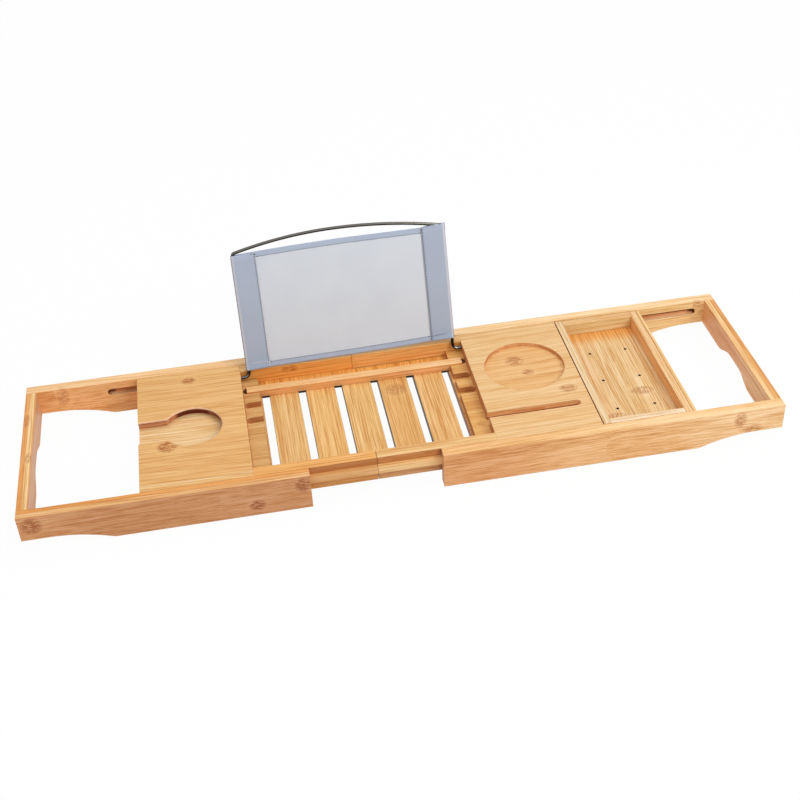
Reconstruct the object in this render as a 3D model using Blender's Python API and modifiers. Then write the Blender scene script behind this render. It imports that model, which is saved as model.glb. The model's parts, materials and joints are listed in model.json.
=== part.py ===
# Bath caddy: an extending bamboo tray that lies across a bath.
# Two U-shaped outer frames slide in X on a core. The core carries two deck boards, a slatted well,
# a hinged wire and cloth book stand, a loose book bar and a soap tray that lifts out.
# Metres, +Z up, +X to the right end, -Y to the bather. Z is zero under the feet.

import bpy
import bmesh
from math import asin, cos, pi, radians, sin, sqrt, tan
from mathutils import Matrix, Vector

MM = 0.001

# Gaps between pieces
GLUE_GAP = 0.1 * MM
REST_GAP = 0.3 * MM
SLIDE_GAP = 0.35 * MM
CUT_OVERRUN = 3 * MM
BURIED = 1.5 * MM
EDGE_ROUND = 0.45 * MM
MERGE_DISTANCE = 0.01 * MM
SHARP_ANGLE = radians(40)

# Outer frames
TRAY_WIDTH = 230 * MM
OUTER_RAIL_THICKNESS = 12.8 * MM
FOOT_HEIGHT = 43.5 * MM
HAND_HEIGHT = 31 * MM
HAND_FLAT = 28.6 * MM
FOOT_START = 95 * MM
FOOT_CORNER_RADIUS = 16 * MM
END_RAIL_THICKNESS = 12.2 * MM
END_ARCH_HALF_WIDTH = 48 * MM
END_ARCH_RISE = 10.7 * MM
END_ARCH_FLAT = 13 * MM
LEFT_CLOSED_SPACE = 41.3 * MM
RIGHT_CLOSED_SPACE = 14.35 * MM
LEFT_PULL = 73.7 * MM
RIGHT_PULL = 69.7 * MM
LEFT_TRAVEL = 150 * MM
RIGHT_TRAVEL = 200 * MM

# Groove in the outer rails, and the tongue on the core that rides in it
GROOVE_HEIGHT = 8.8 * MM
GROOVE_DEPTH = 5.4 * MM
GROOVE_DROP = 13.7 * MM
LEFT_GROOVE_SETBACK = 91.4 * MM
RIGHT_GROOVE_SETBACK = 22.9 * MM
TONGUE_END_MARGIN = 1 * MM

# Stop pins at the tongues' outer ends, and the closed slot that each one runs in
PIN_RADIUS = 1.5 * MM
PIN_LENGTH = 16 * MM
PIN_REACH = 2.2 * MM
PIN_SETBACK = 6 * MM
PIN_SIDE_GAP = 0.4 * MM
PIN_TIP_GAP = 0.6 * MM

# Corner dowels of the outer frames
DOWEL_RADIUS = 3 * MM
DOWEL_IN_RAIL = 7.6 * MM
DOWEL_IN_END = 17.6 * MM
DOWEL_LOW = 9 * MM
DOWEL_HIGH = 22 * MM

# Core
WELL_HALF = 131.7 * MM
LEFT_DECK_LENGTH = 119.8 * MM
RIGHT_DECK_LENGTH = 117.6 * MM
DECK_THICKNESS = 20 * MM
INNER_RAIL_THICKNESS = 13 * MM
INNER_RAIL_HEIGHT = 30.4 * MM
REAR_LEFT_EXTRA = 0.8 * MM
SEAM_GAP = 0.4 * MM
END_STRIP_THICKNESS = 3.8 * MM
END_STRIP_DROP = 0.9 * MM

# Wine glass pocket: a mouth with a rounded rim over a wider undercut
KEYHOLE_RADIUS = 33 * MM
KEYHOLE_INSET = 59.8 * MM
KEYHOLE_FORWARD = 1.6 * MM
CHANNEL_HALF_WIDTH = 18.7 * MM
KEYHOLE_RIM = 1.5 * MM
KEYHOLE_LIP = 2.3 * MM
KEYHOLE_UNDERCUT = 2.5 * MM
KEYHOLE_DEPTH = 10 * MM
RIM_STEPS = 4

# Cup recess and phone slot in the right deck
CUP_RADIUS = 46.3 * MM
CUP_INSET = 61.1 * MM
CUP_REAR_SHIFT = 22 * MM
CUP_DEPTH = 4.7 * MM
PHONE_SLOT_WIDTH = 9.7 * MM
PHONE_SLOT_LENGTH = 105.4 * MM
PHONE_SLOT_FORWARD = 58 * MM
PHONE_SLOT_DEPTH = 11 * MM

# Well: ledges, notches, slats and the cross rails that hold the slats
LEDGE_WIDTH = 19.1 * MM
LEDGE_DROP = 11 * MM
LIP_WIDTH = 2.2 * MM
SLAT_DROP = 18 * MM
SLAT_THICKNESS = 10.2 * MM
SLAT_WIDTH = 33.8 * MM
SLAT_COUNT = 5
NOTCH_WIDTH = 11.4 * MM
NOTCH_REAR_Y = 63 * MM
NOTCH_PITCH = 28.2 * MM
NOTCH_COUNT = 3
REAR_CROSS_FRONT = 68 * MM
FRONT_CROSS_REAR = 68.5 * MM
SLAT_TONGUE_THICKNESS = 4 * MM
SLAT_TONGUE_LENGTH = 5 * MM

# Book bar
BAR_END_ROOM = 4.5 * MM
BAR_DEPTH = 10.6 * MM
BAR_HEIGHT = 8.7 * MM

# Soap tray
SOAP_LENGTH = 100.7 * MM
SOAP_SIDE_GAP = 1.3 * MM
SOAP_FRONT_GAP = 0.6 * MM
SOAP_REAR_GAP = 1.6 * MM
SOAP_SIDE_WALL = 8 * MM
SOAP_FRONT_WALL = 8 * MM
SOAP_REAR_WALL = 10 * MM
SOAP_FLOOR = 4.7 * MM
DRAIN_RADIUS = 1.5 * MM
DRAIN_SPACING_X = 43.2 * MM
DRAIN_SPACING_Y = 54 * MM
DRAIN_FORWARD = 6 * MM

# Book stand
WIRE_RADIUS = 1.9 * MM
WIRE_HOLE_GAP = 0.35 * MM
WIRE_IN_DECK = 8 * MM
HOLE_END_GAP = 1.5 * MM
HINGE_DROP = 6 * MM
STAND_LEAN = radians(18.5)
LEG_INSET = 10.4 * MM
HOOK_BEND_RADIUS = 6 * MM
TOP_BEND_RADIUS = 3 * MM
ARCH_TOP = 162 * MM
LEFT_ARCH_RADIUS = 500 * MM
RIGHT_ARCH_RADIUS = 600 * MM
SLEEVE_RADIUS = 2.9 * MM
CLOTH_BOTTOM = 8.8 * MM
CLOTH_TOP = 145 * MM
CLOTH_THICKNESS = 1.2 * MM
CLOTH_BOTTOM_SKEW = 4.5 * MM
CLOTH_TOP_SKEW = 2 * MM
BAND_INNER = 96 * MM

# Derived places. Y is measured from the middle of the outer rails, X from the middle of the length.
top = FOOT_HEIGHT
outer_face = TRAY_WIDTH / 2
rail_face = outer_face - OUTER_RAIL_THICKNESS
core_half = rail_face - SLIDE_GAP
inner_face = core_half - INNER_RAIL_THICKNESS
left_core_length = WELL_HALF + LEFT_DECK_LENGTH
soap_place_length = SOAP_SIDE_GAP + SOAP_LENGTH + SOAP_SIDE_GAP / 2
right_core_length = WELL_HALF + RIGHT_DECK_LENGTH + soap_place_length + GLUE_GAP + END_STRIP_THICKNESS
left_rail_length = left_core_length + LEFT_CLOSED_SPACE + END_RAIL_THICKNESS
right_rail_length = right_core_length + RIGHT_CLOSED_SPACE + END_RAIL_THICKNESS
left_reach = LEFT_PULL + left_rail_length
right_reach = RIGHT_PULL + right_rail_length
seam_x = (left_reach - right_reach) / 2
left_end_x = seam_x - left_reach
right_end_x = seam_x + right_reach
left_free_x = left_end_x + left_rail_length
right_free_x = right_end_x - right_rail_length

well_left = seam_x - WELL_HALF
well_right = seam_x + WELL_HALF
left_deck_x = well_left - LEFT_DECK_LENGTH
right_deck_x = well_right + RIGHT_DECK_LENGTH
soap_left = right_deck_x + SOAP_SIDE_GAP
soap_right = soap_left + SOAP_LENGTH
runner_end_x = right_deck_x + soap_place_length
strip_left = runner_end_x + GLUE_GAP
strip_right = strip_left + END_STRIP_THICKNESS

deck_under = top - DECK_THICKNESS
runner_top = deck_under - REST_GAP
inner_bottom = top - INNER_RAIL_HEIGHT
ledge_top = top - LEDGE_DROP
slat_top = top - SLAT_DROP
slat_bottom = slat_top - SLAT_THICKNESS
slat_middle = slat_top - SLAT_THICKNESS / 2

groove_z = top - GROOVE_DROP
groove_bottom_y = rail_face + GROOVE_DEPTH
tongue_half_height = GROOVE_HEIGHT / 2 - SLIDE_GAP
tongue_tip_y = groove_bottom_y - SLIDE_GAP
left_groove_x = left_end_x + LEFT_GROOVE_SETBACK
right_groove_x = right_end_x - RIGHT_GROOVE_SETBACK
left_tongue_x = left_groove_x + LEFT_PULL + GROOVE_HEIGHT / 2 + TONGUE_END_MARGIN
right_tongue_x = right_deck_x - GLUE_GAP
left_pin_x = left_tongue_x + PIN_SETBACK
right_pin_x = right_tongue_x - PIN_SETBACK
pin_tip_y = tongue_tip_y + PIN_REACH

well_inner_half = WELL_HALF - LEDGE_WIDTH - LIP_WIDTH
slat_gap = (2 * well_inner_half - SLAT_COUNT * SLAT_WIDTH) / (SLAT_COUNT + 1)

rear_left_face = inner_face - REAR_LEFT_EXTRA
hinge_z = top - HINGE_DROP
hinge_clearance = WIRE_RADIUS + REST_GAP
hinge_y = rear_left_face - (hinge_clearance + HINGE_DROP * sin(STAND_LEAN)) / cos(STAND_LEAN)
leg_x = WELL_HALF - LEG_INSET
stand_rear_y = hinge_y + ARCH_TOP * sin(STAND_LEAN) + WIRE_RADIUS

# The origin is under the middle of the whole box, which the leaning stand widens to the rear.
middle_y = -(stand_rear_y - outer_face) / 2


def clear_scene():
    for item in list(bpy.data.objects):
        bpy.data.objects.remove(item, do_unlink=True)
    for group in list(bpy.data.collections):
        bpy.data.collections.remove(group)


def new_collection(name):
    group = bpy.data.collections.new(name)
    bpy.context.scene.collection.children.link(group)
    return group


def new_material(name, colour, roughness, metallic=0.0):
    material = bpy.data.materials.new(name)
    material.use_nodes = True
    shader = material.node_tree.nodes["Principled BSDF"]
    shader.inputs["Base Color"].default_value = (*colour, 1.0)
    shader.inputs["Roughness"].default_value = roughness
    shader.inputs["Metallic"].default_value = metallic
    material.diffuse_color = (*colour, 1.0)
    return material


# Colours read from the photo: the same bamboo in several tones
TONES = {
    "deck": (0.80, 0.56, 0.30),
    "rail": (0.76, 0.50, 0.26),
    "shaded_rail": (0.70, 0.40, 0.17),
    "slat": (0.82, 0.58, 0.31),
    "dowel": (0.72, 0.52, 0.30),
    "steel": (0.35, 0.33, 0.30),
    "cloth": (0.64, 0.65, 0.67),
    "band": (0.43, 0.47, 0.58),
}


def give_material(item, tone, roughness=0.45, metallic=0.0):
    item.data.materials.append(new_material(item.name + "_finish", TONES[tone], roughness, metallic))


def new_parent(name, where, parent=None, rotation=(0, 0, 0)):
    empty = bpy.data.objects.new(name, None)
    empty.location = where
    empty.rotation_euler = rotation
    empty.parent = parent
    parts.objects.link(empty)
    return empty


def box_mesh(name, size):
    shape = bmesh.new()
    bmesh.ops.create_cube(shape, size=1.0, matrix=Matrix.Diagonal((*size, 1.0)))
    mesh = bpy.data.meshes.new(name)
    shape.to_mesh(mesh)
    shape.free()
    return mesh


def rod_mesh(name, radius, length, sides=24):
    # A rod along Y
    shape = bmesh.new()
    turn = Matrix.Rotation(pi / 2, 4, "X")
    bmesh.ops.create_cone(shape, cap_ends=True, segments=sides, radius1=radius, radius2=radius,
                          depth=length, matrix=turn)
    mesh = bpy.data.meshes.new(name)
    shape.to_mesh(mesh)
    shape.free()
    return mesh


def outline_mesh(name, outlines, thickness):
    # Flat outlines in the curve's own XY plane, given a thickness along its Z.
    curve = bpy.data.curves.new(name + "_outline", "CURVE")
    curve.dimensions = "2D"
    curve.fill_mode = "BOTH"
    curve.extrude = thickness / 2
    for points in outlines:
        spline = curve.splines.new("POLY")
        spline.points.add(len(points) - 1)
        for point, (across, along) in zip(spline.points, points):
            point.co = (across, along, 0.0, 1.0)
        spline.use_cyclic_u = True
    flat = bpy.data.objects.new(name + "_outline", curve)
    bpy.context.scene.collection.objects.link(flat)
    bpy.context.view_layer.update()
    evaluated = flat.evaluated_get(bpy.context.evaluated_depsgraph_get())
    mesh = bpy.data.meshes.new_from_object(evaluated)
    bpy.data.objects.remove(flat, do_unlink=True)
    bpy.data.curves.remove(curve)
    weld(mesh)
    return mesh


def weld(mesh):
    shape = bmesh.new()
    shape.from_mesh(mesh)
    bmesh.ops.remove_doubles(shape, verts=shape.verts, dist=MERGE_DISTANCE)
    bmesh.ops.recalc_face_normals(shape, faces=shape.faces)
    shape.to_mesh(mesh)
    shape.free()


def turn_mesh(mesh, angle, axis):
    mesh.transform(Matrix.Rotation(angle, 4, axis))
    return mesh


def place(name, mesh, where, parent, tone=None, roughness=0.45):
    item = bpy.data.objects.new(name, mesh)
    item.location = where
    item.parent = parent
    parts.objects.link(item)
    if tone:
        give_material(item, tone, roughness)
    return item


def place_box(name, low, high, parent, tone):
    low, high = Vector(low), Vector(high)
    item = place(name, box_mesh(name, high - low), local(parent, (low + high) / 2), parent, tone)
    return item


def local(parent, point):
    # Parents are given in caddy coordinates and none above the stand is turned.
    return Vector(point) - parent_origin[parent.name]


def make_cutter(name, mesh, where):
    cutter = bpy.data.objects.new(name, mesh)
    cutter.location = where
    cutter.parent = caddy
    cutter.hide_render = True
    cutter.display_type = "WIRE"
    cutters.objects.link(cutter)
    return cutter


def cutter_box(name, low, high):
    low, high = Vector(low), Vector(high)
    return make_cutter(name, box_mesh(name, high - low), (low + high) / 2)


def combine(item, other, operation):
    step = item.modifiers.new(operation.lower() + "_" + other.name, "BOOLEAN")
    step.operation = operation
    step.solver = "EXACT"
    step.object = other


def cut(item, cutter):
    combine(item, cutter, "DIFFERENCE")


def add(item, extra):
    combine(item, extra, "UNION")


def shade_round(item):
    item.data.shade_smooth()
    item.data.set_sharp_from_angle(angle=SHARP_ANGLE)


def round_edges(item, width=None, segments=2):
    step = item.modifiers.new("round_edges", "BEVEL")
    step.width = width or EDGE_ROUND
    step.segments = segments
    step.limit_method = "ANGLE"
    step.angle_limit = SHARP_ANGLE
    step.use_clamp_overlap = True


def arc_points(centre, radius, start, end, count):
    # Points on an arc from start to end, both included, angles in radians.
    step = (end - start) / count
    return [(centre[0] + radius * cos(start + step * i), centre[1] + radius * sin(start + step * i))
            for i in range(count + 1)]


def slot_outline(start, end, radius, round_start, round_end, count=10):
    # An outline along X from start to end, centred on zero, round at the named ends.
    if round_end:
        right = arc_points((end - radius, 0), radius, -pi / 2, pi / 2, count)
    else:
        right = [(end, -radius), (end, radius)]
    if round_start:
        left = arc_points((start + radius, 0), radius, pi / 2, 3 * pi / 2, count)
    else:
        left = [(start, radius), (start, -radius)]
    return right + left


# Outer frames


def outer_rail_outline(length):
    # Side view of a rail: X from its outer end to its free end, Z from the foot's underside.
    step_down = top - HAND_HEIGHT
    run = FOOT_START - HAND_FLAT
    sweep_radius = (run ** 2 + step_down ** 2) / (2 * step_down)
    sweep = asin(run / sweep_radius)
    corner = FOOT_CORNER_RADIUS
    # The foot's corner blends the sweep's slope into the flat underside.
    setback = corner * tan(sweep / 2)
    arc_end = sweep - setback / sweep_radius
    hollow = arc_points((HAND_FLAT, step_down - sweep_radius), sweep_radius, pi / 2, pi / 2 - arc_end, 10)
    foot_centre_x = hollow[-1][0] + corner * sin(arc_end)
    foot = arc_points((foot_centre_x, corner), corner, 3 * pi / 2 - arc_end, 3 * pi / 2, 4)
    shape = [(0, top), (0, step_down)] + hollow + foot[1:]
    shape += [(length, 0), (length, top)]
    return shape


def outer_rail(name, side, across, frame, free_x, length):
    # side is -1 for the left frame and 1 for the right, across is -1 for front and 1 for rear.
    outline = [(side * (length - x), z) for x, z in outer_rail_outline(length)]
    mesh = outline_mesh(name, [outline], OUTER_RAIL_THICKNESS)
    turn_mesh(mesh, pi / 2, "X")
    middle = across * (outer_face - OUTER_RAIL_THICKNESS / 2)
    rail = place(name, mesh, local(frame, (free_x, middle, 0)), frame, "rail")
    round_edges(rail)
    return rail


def cut_groove(rail, side, across, end_x, free_x):
    radius = GROOVE_HEIGHT / 2
    open_x = free_x - side * CUT_OVERRUN
    low, high = sorted((end_x, open_x))
    outline = slot_outline(low, high, radius, side < 0, side > 0)
    mesh = turn_mesh(outline_mesh(rail.name + "_groove", [outline], 2 * GROOVE_DEPTH), pi / 2, "X")
    cut(rail, make_cutter(rail.name + "_groove", mesh, (0, across * rail_face, groove_z)))


def cut_stop_slot(rail, side, across, pin_x, pull, travel):
    # The pin's place at the closed and the open limit, in this frame at rest.
    closed_x = pin_x + side * pull
    open_x = pin_x - side * (travel - pull)
    radius = PIN_RADIUS + PIN_SIDE_GAP
    reach = radius + PIN_SIDE_GAP
    low, high = sorted((closed_x + side * reach, open_x - side * reach))
    outline = slot_outline(low, high, radius, True, True, 8)
    depth = pin_tip_y + PIN_TIP_GAP - rail_face
    mesh = turn_mesh(outline_mesh(rail.name + "_stop_slot", [outline], 2 * depth), pi / 2, "X")
    cut(rail, make_cutter(rail.name + "_stop_slot", mesh, (0, across * rail_face, groove_z)))


def end_rail_outline():
    # The underside rises in an S from each hand corner to a flat middle, for the fingers.
    half = rail_face - GLUE_GAP
    under = top - HAND_HEIGHT
    run = END_ARCH_HALF_WIDTH - END_ARCH_FLAT
    steps = 10
    rise = [(END_ARCH_HALF_WIDTH - run * i / steps, under + END_ARCH_RISE * (1 - cos(pi * i / steps)) / 2)
            for i in range(steps + 1)]
    left = [(-across, z) for across, z in rise]
    right = list(reversed(rise))
    return [(-half, top), (-half, under)] + left + right + [(half, under), (half, top)]


def dowels(frame, side, end_rail, front_rail, rear_rail, end_x):
    middle_x = end_x - side * END_RAIL_THICKNESS / 2
    end_face = rail_face - GLUE_GAP
    length = DOWEL_IN_RAIL + DOWEL_IN_END
    name_side = "left" if side < 0 else "right"
    for across, rail, where in ((-1, front_rail, "front"), (1, rear_rail, "rear")):
        middle = across * (end_face + (DOWEL_IN_RAIL - DOWEL_IN_END) / 2)
        for height, level in ((DOWEL_LOW, "lower"), (DOWEL_HIGH, "upper")):
            place_z = top - HAND_HEIGHT + height
            name = "_".join((name_side, where, level, "dowel"))
            shade_round(place(name, rod_mesh(name, DOWEL_RADIUS, length, 16),
                              local(frame, (middle_x, middle, place_z)), frame, "dowel"))
            hole = make_cutter(name + "_hole",
                               rod_mesh(name + "_hole", DOWEL_RADIUS + GLUE_GAP,
                                        length + 2 * GLUE_GAP, 16),
                               (middle_x, middle, place_z))
            cut(end_rail, hole)
            cut(rail, hole)


def outer_frame(side_name, side, end_x, free_x, length, groove_x, pin_x, pull, travel):
    frame = new_parent(side_name + "_frame", (end_x, 0, 0), caddy)
    parent_origin[frame.name] = Vector((end_x, 0, 0))
    rails = []
    for across, where in ((-1, "front"), (1, "rear")):
        rail = outer_rail(side_name + "_" + where + "_rail", side, across, frame, free_x, length)
        cut_groove(rail, side, across, groove_x, free_x)
        cut_stop_slot(rail, side, across, pin_x, pull, travel)
        rails.append(rail)
    mesh = outline_mesh(side_name + "_end_rail", [end_rail_outline()], END_RAIL_THICKNESS)
    turn_mesh(mesh, pi / 2, "X")
    turn_mesh(mesh, pi / 2, "Z")
    middle_x = end_x - side * END_RAIL_THICKNESS / 2
    end_rail = place(side_name + "_end_rail", mesh, local(frame, (middle_x, 0, 0)), frame, "rail")
    round_edges(end_rail)
    dowels(frame, side, end_rail, rails[0], rails[1], end_x)
    return frame


# Core


def tongue(item, start_x, end_x, across):
    # A strip along the core's edge, buried in the piece that carries it.
    low_y, high_y = sorted((across * (core_half - BURIED), across * tongue_tip_y))
    strip = cutter_box(item.name + "_tongue_" + ("front" if across < 0 else "rear"),
                       (start_x, low_y, groove_z - tongue_half_height),
                       (end_x, high_y, groove_z + tongue_half_height))
    add(item, strip)


def stop_pin(name, deck, x, across):
    middle = across * (pin_tip_y - PIN_LENGTH / 2)
    shade_round(place(name, rod_mesh(name, PIN_RADIUS, PIN_LENGTH, 16),
                      local(core, (x, middle, groove_z)), core, "steel", 0.35))
    hole_length = PIN_LENGTH + 2 * GLUE_GAP
    hole = make_cutter(name + "_hole", rod_mesh(name + "_hole", PIN_RADIUS + GLUE_GAP, hole_length, 16),
                       (x, middle, groove_z))
    cut(deck, hole)


def hinge_hole(deck, face_x):
    depth = WIRE_IN_DECK + HOLE_END_GAP
    mesh = rod_mesh(deck.name + "_hinge_hole", WIRE_RADIUS + WIRE_HOLE_GAP, 2 * depth, 16)
    turn_mesh(mesh, pi / 2, "Z")
    cut(deck, make_cutter(deck.name + "_hinge_hole", mesh, (face_x, hinge_y, hinge_z)))


def keyhole_outline(grow):
    radius = KEYHOLE_RADIUS + grow
    half = CHANNEL_HALF_WIDTH + grow
    meet = asin(half / radius)
    round_part = arc_points((0, 0), radius, pi + meet, 3 * pi - meet, 48)
    mouth = -(KEYHOLE_INSET + CUT_OVERRUN)
    # The channel runs left, past the deck's edge.
    return [(mouth, half)] + [(mouth, -half)] + round_part


def keyhole_mouth():
    # The mouth's walls flare at the top, which leaves a rounded rim on the deck.
    levels = [(-KEYHOLE_LIP - BURIED, 0)]
    for step in range(RIM_STEPS + 1):
        angle = pi / 2 * step / RIM_STEPS
        levels.append((KEYHOLE_RIM * (sin(angle) - 1), KEYHOLE_RIM * (1 - cos(angle))))
    levels.append((BURIED, KEYHOLE_RIM))
    shape = bmesh.new()
    rings = [[shape.verts.new((x, y, z)) for x, y in keyhole_outline(grow)] for z, grow in levels]
    count = len(rings[0])
    for low, high in zip(rings, rings[1:]):
        for i in range(count):
            j = (i + 1) % count
            shape.faces.new((low[i], low[j], high[j], high[i]))
    shape.faces.new(rings[0])
    shape.faces.new(rings[-1])
    bmesh.ops.recalc_face_normals(shape, faces=shape.faces)
    mesh = bpy.data.meshes.new("glass_pocket_mouth")
    shape.to_mesh(mesh)
    shape.free()
    return mesh


def left_deck():
    deck = place_box("left_deck_board", (left_deck_x, -core_half, deck_under),
                     (well_left, core_half, top), core, "deck")
    round_edges(deck)
    keyhole_x = left_deck_x + KEYHOLE_INSET
    cut(deck, make_cutter("glass_pocket_mouth", keyhole_mouth(), (keyhole_x, -KEYHOLE_FORWARD, top)))
    undercut_height = KEYHOLE_DEPTH - KEYHOLE_LIP
    undercut = outline_mesh("glass_pocket_undercut", [keyhole_outline(KEYHOLE_UNDERCUT)], undercut_height)
    undercut_z = top - KEYHOLE_LIP - undercut_height / 2
    cut(deck, make_cutter("glass_pocket_undercut", undercut, (keyhole_x, -KEYHOLE_FORWARD, undercut_z)))
    for across in (-1, 1):
        tongue(deck, left_tongue_x, well_left, across)
    hinge_hole(deck, well_left)
    stop_pin("front_left_stop_pin", deck, left_pin_x, -1)
    stop_pin("rear_left_stop_pin", deck, left_pin_x, 1)


def right_deck():
    deck = place_box("right_deck_board", (well_right, -core_half, deck_under),
                     (right_deck_x, core_half, top), core, "deck")
    cup = rod_mesh("cup_recess", CUP_RADIUS, 2 * CUP_DEPTH, 64)
    turn_mesh(cup, pi / 2, "X")
    cut(deck, make_cutter("cup_recess", cup, (well_right + CUP_INSET, CUP_REAR_SHIFT, top)))
    outline = slot_outline(-CUT_OVERRUN, PHONE_SLOT_LENGTH, PHONE_SLOT_WIDTH / 2, False, True)
    slot = outline_mesh("phone_slot", [outline], 2 * PHONE_SLOT_DEPTH)
    cut(deck, make_cutter("phone_slot", slot, (well_right, -PHONE_SLOT_FORWARD, top)))
    round_edges(deck)
    for across in (-1, 1):
        tongue(deck, well_right, right_tongue_x, across)
    hinge_hole(deck, well_right)
    stop_pin("front_right_stop_pin", deck, right_pin_x, -1)
    stop_pin("rear_right_stop_pin", deck, right_pin_x, 1)


def inner_rail(name, side, across, extra=0):
    # Full height beside the well, cut down to a runner under the deck and the soap tray.
    seam = seam_x + side * SEAM_GAP / 2
    shoulder = seam_x + side * (WELL_HALF - GLUE_GAP)
    far = left_deck_x if side < 0 else runner_end_x
    core_face = across * core_half
    back_face = across * (inner_face - extra)
    low_x, high_x = sorted((seam, far))
    low_y, high_y = sorted((core_face, back_face))
    rail = place_box(name, (low_x, low_y, inner_bottom), (high_x, high_y, top), core,
                     "shaded_rail" if across > 0 else "rail")
    round_edges(rail)
    # Cut after rounding, so that the end that meets the deck stays square
    low_x, high_x = sorted((shoulder, far + side * CUT_OVERRUN))
    cut(rail, cutter_box(name + "_shoulder", (low_x, low_y - CUT_OVERRUN, runner_top),
                         (high_x, high_y + CUT_OVERRUN, top + CUT_OVERRUN)))
    tongue(rail, min(seam, shoulder), max(seam, shoulder), across)


def ledge(name, side):
    # A block with a narrow lip at slat height. Round-ended notches open towards the well.
    edge = seam_x + side * (WELL_HALF - GLUE_GAP)
    inner = seam_x + side * (WELL_HALF - LEDGE_WIDTH)
    lip = seam_x + side * well_inner_half
    outline = [(edge, ledge_top), (inner, ledge_top), (inner, slat_top), (lip, slat_top),
               (lip, slat_bottom), (edge, slat_bottom)]
    front = -(inner_face - GLUE_GAP)
    rear = (rear_left_face if side < 0 else inner_face) - GLUE_GAP
    mesh = turn_mesh(outline_mesh(name, [outline], rear - front), pi / 2, "X")
    block = place(name, mesh, local(core, (0, (front + rear) / 2, 0)), core, "slat")
    round_edges(block, EDGE_ROUND / 2, 1)
    tip = seam_x + side * WELL_HALF
    mouth = lip - side * CUT_OVERRUN
    low, high = sorted((tip, mouth))
    notch = slot_outline(low, high, NOTCH_WIDTH / 2, side < 0, side > 0)
    for index in range(NOTCH_COUNT):
        notch_name = name + "_notch_" + str(index + 1)
        height = 2 * (ledge_top - slat_top)
        cutter = make_cutter(notch_name, outline_mesh(notch_name, [notch], height),
                             (0, notch_y(index), slat_top + height / 2))
        cut(block, cutter)


def notch_y(index):
    return NOTCH_REAR_Y - index * NOTCH_PITCH


def slats():
    start = seam_x - well_inner_half + slat_gap
    front = -(FRONT_CROSS_REAR - GLUE_GAP)
    rear = REAR_CROSS_FRONT - GLUE_GAP
    for index in range(SLAT_COUNT):
        left = start + index * (SLAT_WIDTH + slat_gap)
        name = "slat_" + str(index + 1)
        slat = place_box(name, (left, front, slat_bottom), (left + SLAT_WIDTH, rear, slat_top), core, "slat")
        round_edges(slat)
        tongue_half = SLAT_TONGUE_THICKNESS / 2
        for end, direction, where in ((front, -1, "front"), (rear, 1, "rear")):
            low, high = sorted((end - direction * BURIED, end + direction * SLAT_TONGUE_LENGTH))
            add(slat, cutter_box(name + "_" + where + "_tongue",
                                 (left + BURIED, low, slat_middle - tongue_half),
                                 (left + SLAT_WIDTH - BURIED, high, slat_middle + tongue_half)))


def cross_rails():
    left = seam_x - well_inner_half + GLUE_GAP
    right = seam_x + well_inner_half - GLUE_GAP
    groove_half = SLAT_TONGUE_THICKNESS / 2 + GLUE_GAP
    groove_depth = SLAT_TONGUE_LENGTH + GLUE_GAP
    rear_back = rear_left_face - GLUE_GAP
    front_back = -(inner_face - GLUE_GAP)
    for name, face, back, direction in (("rear_cross_rail", REAR_CROSS_FRONT, rear_back, 1),
                                        ("front_cross_rail", -FRONT_CROSS_REAR, front_back, -1)):
        low, high = sorted((face, back))
        rail = place_box(name, (left, low, slat_bottom), (right, high, slat_top), core, "slat")
        round_edges(rail, EDGE_ROUND / 2, 1)
        low, high = sorted((face - direction * CUT_OVERRUN, face + direction * groove_depth))
        cut(rail, cutter_box(name + "_groove", (left - CUT_OVERRUN, low, slat_middle - groove_half),
                             (right + CUT_OVERRUN, high, slat_middle + groove_half)))


def end_strip():
    strip = place_box("core_end_strip", (strip_left, -core_half, inner_bottom),
                      (strip_right, core_half, top - END_STRIP_DROP), core, "rail")
    round_edges(strip)


# Pieces that lift out


def book_bar():
    holder = new_parent("book_bar_place", (seam_x, notch_y(0), slat_top + REST_GAP), caddy)
    parent_origin[holder.name] = holder.location.copy()
    half = WELL_HALF - BAR_END_ROOM
    bar = place_box("book_rest_bar", (seam_x - half, notch_y(0) - BAR_DEPTH / 2, slat_top + REST_GAP),
                    (seam_x + half, notch_y(0) + BAR_DEPTH / 2, slat_top + REST_GAP + BAR_HEIGHT),
                    holder, "slat")
    round_edges(bar)


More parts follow.
